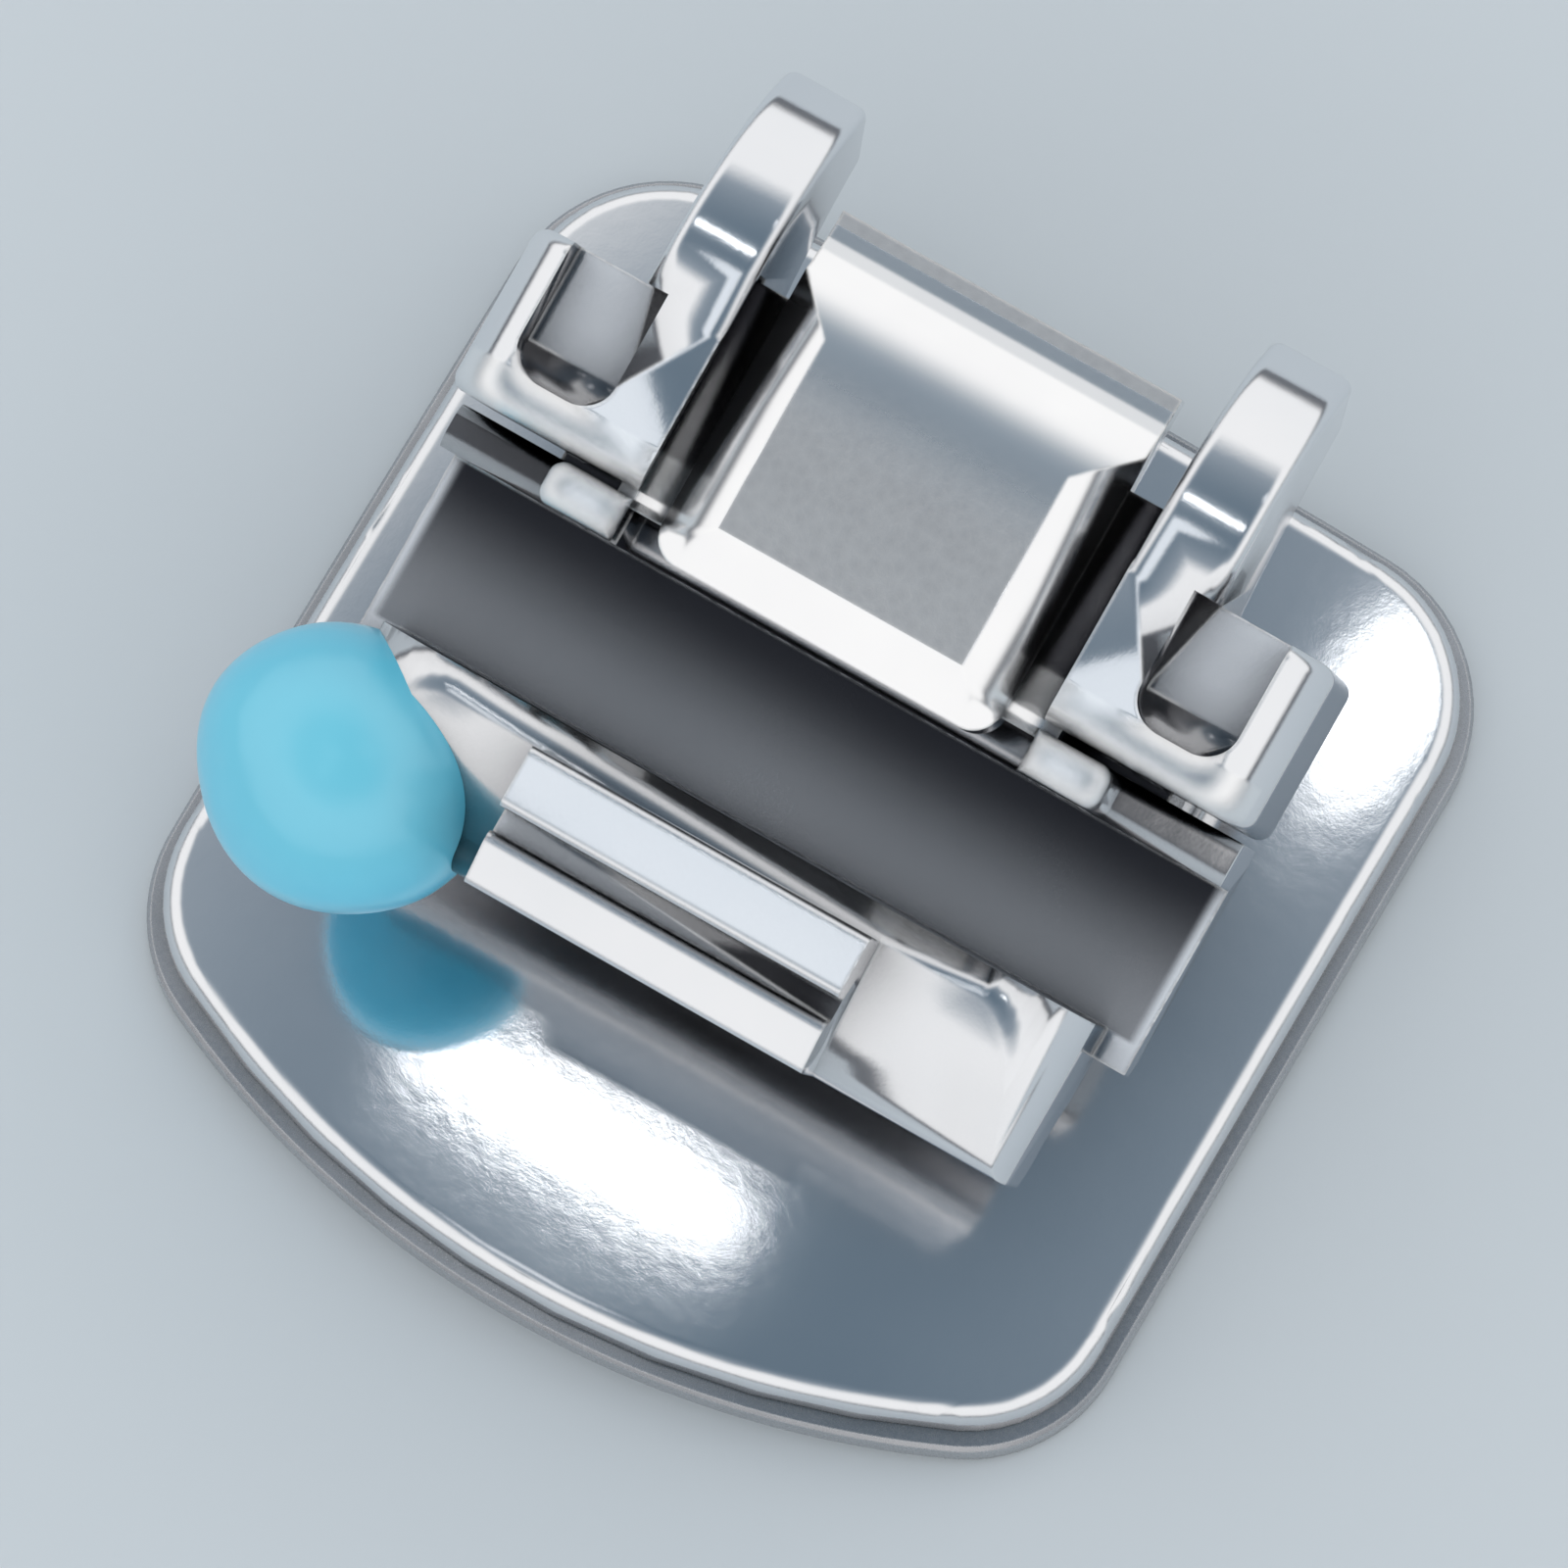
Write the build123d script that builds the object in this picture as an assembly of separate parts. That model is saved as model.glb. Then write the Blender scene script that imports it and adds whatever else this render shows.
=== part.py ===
from build123d import *
from math import atan, degrees
import os

# Passive self-ligating orthodontic bracket for an upper left central incisor, in millimetres.
# X is mesiodistal, +Y points to the gum, +Z points away from the tooth.
# The origin is the middle of the rim plane of the bonding pad, on which the bracket rests.
# The door is drawn slid back to its open position.

# Tooth surface under the pad, convex in both directions, with its crest midway between the pad's feet
tooth_radius_across = 9.0
tooth_radius_along = 20.0
tooth_crest_place = -0.075

# Bonding pad
pad_half_width = 1.70
pad_gingival_reach = 1.52
pad_incisal_reach = 1.45
pad_incisal_bulge = 0.50
pad_corner_radius = 0.50
flange_thickness = 0.15
flange_edge_radius = 0.08

# Mesh foil brazed under the pad
foil_thickness = 0.15
foil_rim = 0.05
braze_gap = 0.01
mesh_pitch = 0.38
mesh_groove_width = 0.14
mesh_groove_depth = 0.05
mesh_border = 0.16

# Inclination of the casting on its pad, in degrees
torque_angle = 12.0

# Archwire slot, 0.022 by 0.028 inch
slot_width = 0.56
slot_depth = 0.71
slot_floor_height = 0.86
channel_half_length = 1.40
channel_sill = 0.20
channel_wall = 0.15
channel_wall_height = 0.40
channel_edge_radius = 0.05

# Stem between pad and slot
stem_half_width = 1.10
stem_gingival_reach = 0.80
stem_incisal_reach = 0.54
stem_waist = 0.10
stem_corner_radius = 0.15
stem_foot_radius = 0.10

# Square vertical slot through the stem, 0.018 inch
vertical_slot_size = 0.46
vertical_slot_web = 0.17

# Sliding door
door_width = 1.20
door_flat_length = 1.00
door_ramp_length = 0.21
door_thickness = 0.28
door_tail_thickness = 0.10
door_bevel_width = 0.17
door_bevel_drop = 0.09
door_corner_radius = 0.10
door_setback = 0.03
door_side_gap = 0.12
rail_width = 0.18
rail_height = 0.12
rail_front_inset = 0.09
rail_length = 0.80
clearance = 0.02

# Travel of the door from open to closed
door_travel = 0.62

# Guide block and the two rounded shoulders beside the door
shoulder_half_width = 1.42
shoulder_front = 0.46
shoulder_rear = 1.03
shoulder_rise = 0.20
shoulder_corner_radius = 0.24
shoulder_edge_radius = 0.05
block_drop = 0.12
pocket_width = 0.34
pocket_depth = 0.20
pocket_wall = 0.13

# Nubs on the slot wall beside the door's front corners
nub_width = 0.27
nub_length = 0.15
nub_edge_radius = 0.05

# Gingival tie wings, two legs that curve down beyond the door
leg_width = 0.29
leg_reach = 1.84
leg_level_length = 0.30
leg_drop = 0.42
leg_tip_thickness = 0.30
leg_tip_slant = 0.10
leg_arch = 0.10
leg_tip_radius = 0.07
leg_edge_radius = 0.04

# Incisal tie wing
wing_half_length = 1.28
wing_reach = 0.85
wing_tip_radius = 0.34
wing_edge_radius = 0.09
wing_hook_drop = 0.14
wing_outer_drop = 0.16
wing_hollow = 0.08

# Raised lip on the wing, as wide as the door
lip_rise = 0.30
lip_land = 0.10
lip_bar = 0.21
lip_slit_width = 0.08
lip_slit_depth = 0.17
lip_outer_drop = 0.08
lip_edge_radius = 0.03

# Tubular detent spring in a pocket under the door
spring_radius = 0.16
spring_wall = 0.035
spring_length = 0.84
spring_gap = 0.14
spring_setback = 0.39
spring_projection = 0.05
seat_extra_depth = 0.03

# Enamel colour mark on one wing tip
mark_radius_across = 0.50
mark_radius_along = 0.47
mark_radius_up = 0.36
mark_inset_across = 0.13
mark_inset_along = 0.12
mark_drop = 0.22
mark_skirt = 0.20

# One overrun for every cut
overrun = 0.5

# Heights and places worked out from the sizes above
flange_base = foil_thickness + braze_gap
flange_crest = flange_base + flange_thickness
half_slot = slot_width / 2
door_half = door_width / 2
door_underside = slot_floor_height + slot_depth
door_top = door_underside + door_thickness
seat_height = door_underside - clearance
door_front = half_slot + door_setback
door_flat_end = door_front + door_flat_length
door_rear = door_flat_end + door_ramp_length
shoulder_top = door_underside + shoulder_rise
block_underside = slot_floor_height - block_drop
rail_front = door_front + rail_front_inset
rail_rear = rail_front + rail_length
rail_top = door_underside + rail_height
guide_half = door_half + door_side_gap
groove_half = door_half + rail_width + clearance
lip_inner = half_slot + lip_land
bevel_taper = degrees(atan(door_bevel_width / door_bevel_drop))
frame_of_casting = Location((0, 0, flange_crest), (torque_angle, 0, 0))


def box_between(x_range, y_range, z_range):
    """A block given by its two ends along each axis."""
    size = [high - low for low, high in (x_range, y_range, z_range)]
    middle = [(high + low) / 2 for low, high in (x_range, y_range, z_range)]
    return Pos(*middle) * Box(*size)


def side_form(points, half_length, radius=0, rounded=()):
    """A form of constant side profile, whose points are (along, up)."""
    outline = make_face(Polyline(*points, close=True))
    if rounded:
        corners = [outline.vertices().sort_by_distance(Vector(*points[i], 0))[0] for i in rounded]
        outline = fillet(corners, radius)
    return extrude(Plane.YZ * outline, half_length, both=True)


def both_sides(form):
    """A form and its mirror image across the middle of the bracket."""
    return form + mirror(form, Plane.YZ)


def tooth_form(offset):
    """Barrel that follows the tooth, grown outwards by an offset, with its crest at that height."""
    half_span = pad_half_width + overrun
    across = tooth_radius_across + offset
    along = tooth_radius_along + offset
    rim = along - across + (across**2 - half_span**2) ** 0.5
    arc = ThreePointArc((-half_span, -rim), (0, -along), (half_span, -rim))
    side = Polyline((half_span, -rim), (half_span, 0), (-half_span, 0), (-half_span, -rim))
    barrel = revolve(Plane.XZ * make_face(arc + side), Axis.X, 360)
    return Pos(0, tooth_crest_place, -tooth_radius_along) * Rot(180, 0, 0) * barrel


def pad_outline(grow):
    """Pad seen from the front: straight gum edge and sides, bulging incisal edge."""
    half = pad_half_width + grow
    gum = pad_gingival_reach + grow
    corner = -pad_incisal_reach - grow
    crown = ThreePointArc((-half, corner), (0, corner - pad_incisal_bulge), (half, corner))
    sides = Polyline((half, corner), (half, gum), (-half, gum), (-half, corner))
    outline = make_face(crown + sides)
    return fillet(outline.vertices(), pad_corner_radius + grow)


def pad_layer(low, high, grow):
    """Layer of the pad between two offsets from the tooth."""
    prism = extrude(pad_outline(grow), tooth_radius_across, both=True)
    return prism & (tooth_form(high) - tooth_form(low))


def bonding_mesh():
    """Foil whose underside is cut into a grid of small studs that hold the cement."""
    foil = pad_layer(0, foil_thickness, foil_rim)
    reach = pad_half_width + pad_incisal_bulge
    count = int(reach / mesh_pitch)
    groove = mesh_groove_width / 2
    bars = []
    for step in range(-count, count + 1):
        place = (step * mesh_pitch - groove, step * mesh_pitch + groove)
        bars.append(box_between(place, (-reach, reach), (-reach, reach)))
        bars.append(box_between((-reach, reach), place, (-reach, reach)))
    inner = extrude(pad_outline(-mesh_border), tooth_radius_across, both=True)
    grooves = (Part() + bars) & inner & tooth_form(mesh_groove_depth)
    return foil - grooves


def channel():
    """Archwire channel across the whole bracket, with its low gingival wall."""
    floor = slot_floor_height
    wall_end = half_slot + channel_wall
    points = [
        (-lip_inner, floor - channel_sill),
        (wall_end, floor - channel_sill),
        (wall_end, floor + channel_wall_height),
        (half_slot, floor + channel_wall_height),
        (half_slot, floor),
        (-lip_inner, floor),
    ]
    return side_form(points, channel_half_length, channel_edge_radius, (0, 1, 2, 3))


def stem():
    """Waisted neck of the casting, narrower than what it carries so that ligatures hook under it."""
    low = -tooth_radius_across / 2
    middle = slot_floor_height / 2
    top = slot_floor_height
    gum = stem_gingival_reach
    tip = -stem_incisal_reach
    gum_face = ThreePointArc((gum, 0), (gum - stem_waist, middle), (gum, top))
    tip_face = ThreePointArc((tip, top), (tip + stem_waist, middle), (tip, 0))
    foot = Polyline((tip, 0), (tip, low), (gum, low), (gum, 0))
    outline = make_face(gum_face + Line((gum, top), (tip, top)) + tip_face + foot)
    block = extrude(Plane.YZ * outline, stem_half_width, both=True)
    corners = block.faces().filter_by(Axis.X).edges().filter_by(Axis.Y, reverse=True)
    return fillet(corners, stem_corner_radius)


def incisal_wing():
    """Tie wing along the incisal side of the slot, with curled tips and a hollow for the ligature."""
    seat = seat_height
    hook = slot_floor_height - wing_hook_drop
    neck = -stem_incisal_reach
    middle = ((neck - wing_reach) / 2, hook + wing_hollow)
    hollow = ThreePointArc((-wing_reach, hook), middle, (neck, hook))
    rest = Polyline(
        (neck, hook),
        (-half_slot, hook),
        (-half_slot, seat),
        (-lip_inner, seat),
        (-wing_reach, seat - wing_outer_drop),
        (-wing_reach, hook),
    )
    outline = make_face(hollow + rest)
    outer = outline.vertices().sort_by(Axis.X)[:2]
    outline = fillet(outer, wing_edge_radius)
    bar = extrude(Plane.YZ * outline, wing_half_length, both=True)
    front = Pos(0, seat / 2) * Rectangle(2 * wing_half_length, seat)
    front = fillet(front.vertices().sort_by(Axis.Y)[-2:], wing_tip_radius)
    return bar & extrude(Plane.XZ * front, wing_reach + overrun, both=True)


def lip():
    """Raised middle of the wing: a bar the width of the door, a slit, and an outer edge bar."""
    top = seat_height + lip_rise
    bar_end = lip_inner + lip_bar
    slit_end = bar_end + lip_slit_width
    points = [
        (-lip_inner, seat_height - wing_outer_drop),
        (-lip_inner, top),
        (-bar_end, top),
        (-bar_end, top - lip_slit_depth),
        (-slit_end, top - lip_slit_depth),
        (-slit_end, top - lip_outer_drop),
        (-wing_reach, top - 2 * lip_outer_drop),
        (-wing_reach, seat_height - 2 * wing_outer_drop),
    ]
    return side_form(points, door_half, lip_edge_radius, (1, 2, 5, 6))


def guide_block():
    """Block behind the slot whose two rounded shoulders stand beside the door."""
    height = shoulder_top - block_underside
    outline = Pos(0, block_underside + height / 2) * Rectangle(2 * shoulder_half_width, height)
    outline = fillet(outline.vertices().sort_by(Axis.Y)[-2:], shoulder_corner_radius)
    block = extrude(Plane.XZ * outline, shoulder_front - shoulder_rear)
    block = Pos(0, shoulder_front, 0) * block
    ends = block.faces().sort_by(Axis.Y)
    rims = ends[0].edges() + ends[-1].edges()
    upper = rims.filter_by(lambda edge: edge.center().Z > (shoulder_top + block_underside) / 2)
    return fillet(upper, shoulder_edge_radius)


def shoulder_pocket():
    """Hollow in the top of a shoulder, open towards the gum."""
    inner = groove_half + pocket_wall
    x_range = (inner, inner + pocket_width)
    y_range = (shoulder_front + pocket_wall, shoulder_rear)
    z_range = (shoulder_top - pocket_depth, shoulder_top + overrun)
    pocket = box_between(x_range, y_range, z_range)
    front_corners = pocket.edges().filter_by(Axis.Z).sort_by(Axis.Y)[:2]
    return fillet(front_corners, pocket_width / 3)


def nub():
    """Small rounded block on the slot wall at a front corner of the door."""
    x_range = (guide_half, guide_half + nub_width)
    y_range = (half_slot, half_slot + nub_length)
    block = box_between(x_range, y_range, (slot_floor_height, shoulder_top))
    top_rim = block.faces().sort_by(Axis.Z)[-1].edges()
    outer_posts = block.edges().filter_by(Axis.Z).sort_by(Axis.X)[-2:]
    return fillet(top_rim + outer_posts, nub_edge_radius)


def leg():
    """Gingival tie wing: a slim bar that leaves the block beside the door and curves down."""
    start = shoulder_rear - pocket_wall
    bend = start + leg_level_length
    tip = shoulder_top - leg_drop
    heel = (leg_reach - leg_tip_slant, tip - leg_tip_thickness)
    root = (start, block_underside)
    arch = ((heel[0] + root[0]) / 2, (heel[1] + root[1]) / 2 + leg_arch)
    level = Polyline(root, (start, shoulder_top), (bend, shoulder_top))
    curve = TangentArc((bend, shoulder_top), (leg_reach, tip), tangent=(1, 0))
    under = ThreePointArc(heel, arch, root)
    outline = make_face(level + curve + Line((leg_reach, tip), heel) + under)
    outline = fillet(outline.vertices().sort_by(Axis.X)[-1], leg_tip_radius)
    bar = Pos(guide_half, 0, 0) * extrude(Plane.YZ * outline, leg_width)
    sides = bar.faces().filter_by(Axis.X)
    rims = sides.edges().filter_by(lambda edge: edge.center().Y > start and edge.center().Z > heel[1])
    return fillet(rims, leg_edge_radius)


def door_way():
    """Way of the door through the casting: open between the shoulders, with a groove for each rail."""
    way = box_between((-guide_half, guide_half), (half_slot, leg_reach), (seat_height, shoulder_top + overrun))
    grooves = box_between(
        (-groove_half, groove_half),
        (half_slot, rail_rear + clearance),
        (seat_height, rail_top + clearance),
    )
    return way + grooves


def spring_middle():
    """Place of the spring's axis, along and up."""
    along = door_front + spring_setback
    up = door_underside + spring_projection - clearance - spring_radius
    return along, up


def spring_pocket():
    """Pocket in the seat of the door that holds the detent spring."""
    along, up = spring_middle()
    half = spring_length / 2 + clearance
    reach = spring_radius + clearance
    bottom = Pos(0, along, up) * Rot(0, 90, 0) * Cylinder(reach, 2 * half)
    return bottom + box_between((-half, half), (along - reach, along + reach), (up, seat_height + overrun))


def vertical_slot():
    """Square tunnel through the stem, clear of the pad at both of its mouths."""
    top = slot_floor_height - vertical_slot_web
    half = vertical_slot_size / 2
    return box_between((-half, half), (-wing_reach, leg_reach), (top - vertical_slot_size, top))


def pad_and_stem():
    """Curved flange with a rounded rim, and the stem that grows from it with a filleted foot."""
    flange = pad_layer(flange_base, flange_crest, 0)
    front = flange.faces().sort_by(SortBy.AREA)[-2:].sort_by(Axis.Z)[-1]
    flange = fillet(front.outer_wire().edges(), flange_edge_radius)
    base = flange + (frame_of_casting * stem() - tooth_form(flange_base))
    front = base.faces().sort_by(SortBy.AREA)[-2:].sort_by(Axis.Z)[-1]
    return fillet(front.inner_wires()[0].edges(), stem_foot_radius)


def bracket_body():
    """The casting: curved flange, stem, slot, wings, guide block and legs in one piece."""
    upper = channel() + incisal_wing() + lip() + guide_block() + both_sides(nub()) + both_sides(leg())
    hollows = both_sides(shoulder_pocket()) + door_way() + spring_pocket() + vertical_slot()
    return pad_and_stem() + frame_of_casting * upper - frame_of_casting * hollows


def door_plan(rear):
    """Door seen from the front, up to a given rear edge, with rounded front corners."""
    plan = Pos(0, (door_front + rear) / 2) * Rectangle(door_width, rear - door_front)
    front_corners = plan.vertices().sort_by(Axis.Y)[:2]
    return fillet(front_corners, door_corner_radius)


def sliding_door():
    """Door with two side rails, a bevelled top and a concave ramp at its tail."""
    shelf = door_top - door_bevel_drop
    plate = extrude(door_plan(door_rear), shelf - door_underside)
    upper = extrude(door_plan(door_flat_end), door_bevel_drop, taper=bevel_taper)
    plate = Pos(0, 0, door_underside) * plate + Pos(0, 0, shelf) * upper
    tail_top = door_underside + door_tail_thickness
    sag = (shelf - tail_top) / 4
    middle = ((door_flat_end + door_rear) / 2, (shelf + tail_top) / 2 - sag)
    hollow = ThreePointArc((door_flat_end, shelf), middle, (door_rear, tail_top))
    above = Polyline(
        (door_rear, tail_top),
        (door_rear + overrun, tail_top),
        (door_rear + overrun, shelf),
        (door_flat_end, shelf),
    )
    plate = plate - extrude(Plane.YZ * make_face(hollow + above), door_width, both=True)
    rails = box_between(
        (-door_half - rail_width, door_half + rail_width),
        (rail_front, rail_rear),
        (door_underside, rail_top),
    )
    return frame_of_casting * (plate + rails - spring_relief())


def spring_relief():
    """Groove under the door in which the spring runs, with a deeper seat at each end."""
    along, up = spring_middle()
    half = spring_length / 2 + 2 * clearance
    reach = spring_radius + clearance
    bottom = (door_underside - overrun, door_underside + spring_projection)
    groove = box_between((-half, half), (along, along + door_travel), bottom)
    for seat in (along, along + door_travel):
        hollow = Pos(0, seat, up) * Rot(0, 90, 0) * Cylinder(reach + seat_extra_depth, 2 * half)
        groove = groove + hollow
    return groove


def detent_spring():
    """Slit tube of spring wire sheet, its slit facing the pad."""
    along, up = spring_middle()
    ring = Circle(spring_radius) - Circle(spring_radius - spring_wall)
    slit = Pos(0, -spring_radius) * Rectangle(spring_gap, 2 * spring_radius)
    tube = extrude(Plane.YZ * (ring - slit), spring_length / 2, both=True)
    return frame_of_casting * (Pos(0, along, up) * tube)


def colour_mark(casting):
    """Domed drop of enamel that wraps the tip of the incisal wing."""
    drop = scale(Sphere(1), (mark_radius_across, mark_radius_along, mark_radius_up))
    x_place = -wing_half_length + mark_inset_across
    y_place = -wing_reach + mark_inset_along
    z_place = seat_height - mark_drop
    drop = Pos(x_place, y_place, z_place) * drop
    reach = mark_radius_across + overrun
    under = box_between(
        (x_place - reach, x_place + reach),
        (y_place - reach, y_place + reach),
        (0, z_place - mark_skirt),
    )
    mark = frame_of_casting * (drop - under) - casting
    return mark.solids().sort_by(SortBy.VOLUME)[-1]


def main():
    casting = bracket_body()
    foil = bonding_mesh()
    pieces = {
        "bonding_mesh": foil,
        "bracket_body": casting,
        "sliding_door": sliding_door(),
        "detent_spring": detent_spring(),
        "colour_mark": colour_mark(casting),
    }
    lift = Pos(0, 0, -foil.bounding_box().min.Z)
    os.makedirs("parts", exist_ok=True)
    for name, piece in pieces.items():
        export_step(lift * piece, f"parts/{name}.step")
        print(name, round(piece.volume, 4))


main()
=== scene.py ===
"""Self-ligating orthodontic bracket: finishes, fine pieces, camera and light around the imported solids.

Lengths are in metres. The patterns and masks of the materials are in millimetres.
"""

import math

import bmesh
import bpy
from mathutils import Matrix, Quaternion, Vector, noise
from mathutils.kdtree import KDTree


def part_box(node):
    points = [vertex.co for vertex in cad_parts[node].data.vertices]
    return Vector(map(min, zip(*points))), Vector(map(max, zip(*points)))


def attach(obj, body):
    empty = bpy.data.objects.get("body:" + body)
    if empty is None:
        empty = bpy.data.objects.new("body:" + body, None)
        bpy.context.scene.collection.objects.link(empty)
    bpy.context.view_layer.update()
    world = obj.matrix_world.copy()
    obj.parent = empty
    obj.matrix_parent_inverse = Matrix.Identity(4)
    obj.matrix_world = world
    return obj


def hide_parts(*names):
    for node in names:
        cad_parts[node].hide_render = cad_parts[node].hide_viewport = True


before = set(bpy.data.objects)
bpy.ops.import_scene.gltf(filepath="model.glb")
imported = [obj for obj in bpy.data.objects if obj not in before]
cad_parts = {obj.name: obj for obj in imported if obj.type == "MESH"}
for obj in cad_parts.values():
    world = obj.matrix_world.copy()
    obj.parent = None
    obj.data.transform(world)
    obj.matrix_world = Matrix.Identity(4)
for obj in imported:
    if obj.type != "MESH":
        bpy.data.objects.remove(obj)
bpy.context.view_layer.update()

MM = 0.001

# Camera, from where the photograph looks at the bracket; clipping as shares of its distance
VIEW_AZIMUTH = 30.2
VIEW_ELEVATION = 76.8
LENS_MM = 300.0
SENSOR_MM = 36.0
NEAR_CLIP = 0.01
FAR_CLIP = 100.0
FRAME_WIDTH = 4.95 * MM
FRAME_CENTRE = Vector((-0.02, -0.22, 1.0)) * MM

# The casting leans on its pad, and the door slides in the leaning frame
LEAN = math.radians(12.0)
BRAZE_GAP = 0.01 * MM
FLANGE_THICKNESS = 0.15 * MM
FOIL_THICKNESS = 0.15 * MM
_, foil_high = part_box("bonding_mesh")
FOIL_CREST = foil_high.z - FOIL_THICKNESS
FLANGE_CREST = foil_high.z + BRAZE_GAP + FLANGE_THICKNESS
casting_frame = Matrix.Translation((0, 0, FLANGE_CREST)) @ Matrix.Rotation(LEAN, 4, "X")

# Tooth surface that the pad follows
TOOTH_RADIUS_ACROSS = 9.0 * MM
TOOTH_RADIUS_ALONG = 20.0 * MM
TOOTH_CREST_PLACE = -0.075 * MM
TOOTH_AXIS_HEIGHT = FOIL_CREST - TOOTH_RADIUS_ALONG
RING_RADIUS = TOOTH_RADIUS_ALONG - TOOTH_RADIUS_ACROSS

# Outline of the pad, and its points: round each corner, along each side, and along the bulging edge
PAD_HALF_WIDTH = 1.70 * MM
PAD_GINGIVAL_REACH = 1.52 * MM
PAD_INCISAL_REACH = 1.45 * MM
PAD_BULGE = 0.50 * MM
PAD_CORNER_RADIUS = 0.50 * MM
CORNER_POINTS = 14
SIDE_POINTS = 16
BULGE_POINTS = 40

# Foil: how far its rim stands out, its broken edge, its rings of facets, and the studs on its back
FOIL_RIM = 0.05 * MM
FOIL_EDGE = 0.012 * MM
FOIL_RINGS = 12
STUD_BORDER = 0.16 * MM
STUD_DEPTH = 0.05 * MM
STUD_PITCH = 0.38 * MM
STUD_WIDTH = 0.24 * MM
STUD_EDGE = 0.018 * MM
STUD_RANKS = 9
STUD_ROOT_SHARE = 0.86

# Spring strip, rolled into a slit tube under the door
SPRING_RADIUS = 0.16 * MM
SPRING_WALL = 0.035 * MM
SPRING_LENGTH = 0.84 * MM
SPRING_GAP = 0.14 * MM
SPRING_FACETS = 48

# Enamel drop: its size and how uneven that is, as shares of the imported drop's; where the unevenness
# is read; and the height at which its side turns under, and how quickly, as shares of its half height
DROP_SIZE = 0.965
DROP_UNEVENNESS = 0.055
DROP_WAVES = 0.9
DROP_WAVE_PLACE = Vector((3.1, 0.4, 1.7))
DROP_FOOT = -0.30
DROP_CURL = 0.25
DROP_SUBDIVISIONS = 5

# Facets on the front of the pad: their longest edge, the rounds of cuts that reach it, what counts as lying
# on the front, and how near a new point is to the middle of the edge that it cuts
PAD_FACET = 0.11 * MM
PAD_CUTS = 6
ON_SURFACE = 0.002 * MM
AT_MIDDLE = 0.00002 * MM

# Points nearer than this become one
MERGE_DISTANCE = 0.00001 * MM

# Shading: the turn at which an edge is sharp, the weight of large flats, and how nearly a corner faces and
# lies on the pad's true curve to take its exact slope
SHARP = math.radians(22.0)
FLAT_WEIGHT = 90
PAD_FACING = math.cos(math.radians(8.0))
PAD_SLACK = 0.008 * MM

# Edges that tumbling broke: fine ones, those of the foil, and the front rims of the shoulders; and the
# cosines of the turns at which such an edge starts to lighten, as wear and painted highlight, and is fully
# lightened
EDGE_BREAK = 0.016 * MM
FOIL_EDGE_BREAK = 0.008 * MM
RIM_BREAK = 0.09 * MM
EDGE_SAMPLES = 3
WEAR_AND_SHEEN_TURNS = (0.995, 0.90)

# Painted shade: how far off a wall still darkens a surface's colour, in corners, in whole hollows, and where
# pieces meet
CORNER_REACH = 0.24 * MM
HOLLOW_REACH = 0.90 * MM
MEETING_REACH = 0.09 * MM
CREVICE_SAMPLES = 3

# Depths of the finest relief: casting, door, foil, spring strip and enamel
PEEL_DEPTH = 0.0002 * MM
GRAIN_DEPTH = 0.00005 * MM
BEAD_DEPTH = 0.0010 * MM
BLAST_DEPTH = 0.0006 * MM
ETCH_DEPTH = 0.0001 * MM
DRAWN_DEPTH = 0.0005 * MM
RIPPLE_DEPTH = 0.022 * MM

# Slot and shoulders in the leaning frame of the casting, in millimetres, and how soft their masks end
MASK_SOFTNESS = 0.01
SLOT_SIDES = (-0.28, 0.28)
SLOT_DEPTHS = (0.80, 0.98)
SLOT_ENDS = (1.35, 1.39)
SHOULDER_RIMS = (0.29, 0.60)
SHOULDER_SIDES = (0.71, 1.45)
SHOULDER_HEIGHTS = (1.63, 1.90)

# Heights between which the enamel grows paler as a painted highlight, in millimetres in the same frame
PAINTED_HIGHLIGHT_HEIGHTS = (1.20, 1.75)

# Floor: half its width, and how far it lies under the pad
FLOOR_HALF_WIDTH = 150.0 * MM
FLOOR_DROP = 0.002 * MM

# Surround: height of a direction (0 level, 1 straight up) and its colour
SKY = (
    (0.00, (0.16, 0.17, 0.19)),
    (0.08, (0.20, 0.21, 0.23)),
    (0.16, (1.12, 1.12, 1.12)),
    (0.77, (1.12, 1.12, 1.12)),
    (0.87, (0.34, 0.40, 0.46)),
    (1.00, (0.15, 0.21, 0.27)),
)
SKY_STRENGTH = 0.95

# Lamps, by what they light (the pad under the wing, the edge of the pad, the flats of wing and legs):
# azimuth, elevation and turn in degrees, width, height, and power in watts
LAMP_DISTANCE = 600.0 * MM
LAMPS = {
    "crescent": (-104.4, 82.2, 13.0, 10.0 * MM, 190.0 * MM, 0.035),
    "edge": (147.0, 66.4, 0.0, 50.0 * MM, 50.0 * MM, 0.018),
    "flats": (-28.0, 76.0, 0.0, 120.0 * MM, 120.0 * MM, 0.027),
}


class Number:
    """A socket that carries a number, with Python's operators for Math nodes."""

    def __init__(self, finish, socket):
        self.finish = finish
        self.socket = socket

    def _math(self, operation, *values):
        return self.finish.math(operation, *values)

    def __add__(self, other):
        return self._math("ADD", self, other)

    __radd__ = __add__

    def __sub__(self, other):
        return self._math("SUBTRACT", self, other)

    def __rsub__(self, other):
        return self._math("SUBTRACT", other, self)

    def __mul__(self, other):
        return self._math("MULTIPLY", self, other)

    __rmul__ = __mul__


def feed(links, node, socket, value):
    """Sets or links one input of a node."""
    target = node.inputs[socket]
    if isinstance(value, Number):
        links.new(value.socket, target)
    elif isinstance(value, bpy.types.NodeSocket):
        links.new(value, target)
    else:
        target.default_value = value


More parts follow.
